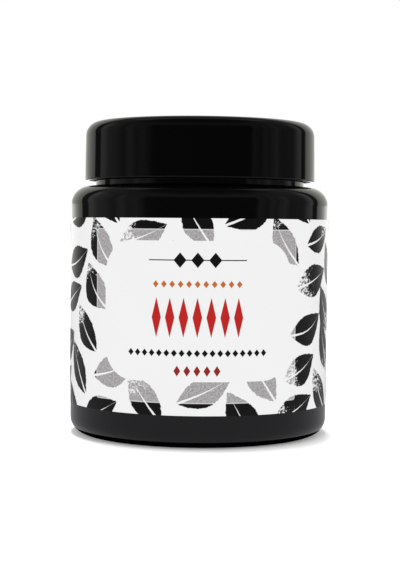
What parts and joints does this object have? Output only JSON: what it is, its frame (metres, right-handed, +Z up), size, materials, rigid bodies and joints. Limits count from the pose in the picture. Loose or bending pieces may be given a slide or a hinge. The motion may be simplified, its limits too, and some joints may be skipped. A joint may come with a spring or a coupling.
{
  "type": "screw-top jar",
  "caption": "Wide-mouth round jar in dark glass with a smooth black screw lid, a loose sealing disc and a wrap-round printed paper label.",
  "frame": {"origin": "middle of the base, on the plane that the jar stands on", "axes": "+Z up along the jar's axis, -Y towards the middle of the label, +X to the right of someone who faces the label"},
  "size_m": [0.0726, 0.0725, 0.0867],
  "materials": {
    "jar_glass": "glossy, so dark that it looks black",
    "lid_plastic": "glossy black moulding",
    "disc_foam": "matt white foam sheet",
    "label_paper": "semi-gloss white paper printed with a leaf pattern in black and grey"
  },
  "bodies": {
    "jar": {"jar": "jar_glass", "label": "label_paper"},
    "sealing_disc": {"sealing_disc": "disc_foam"},
    "lid": {"lid": "lid_plastic"}
  },
  "joints": [
    {"name": "lid_lift", "type": "slide", "parent": "jar", "child": "sealing_disc", "axis": [0, 0, 1], "range_m": [0, 0.0048]},
    {"name": "lid_turn", "type": "hinge", "parent": "sealing_disc", "child": "lid", "pos_m": [0, 0, 0.0788], "axis": [0, 0, 1], "range_deg": [0, 405]}
  ],
  "couplings": [
    {"joint": "lid_lift", "follows": "lid_turn", "m_per_rad": 0.00066845}
  ]
}
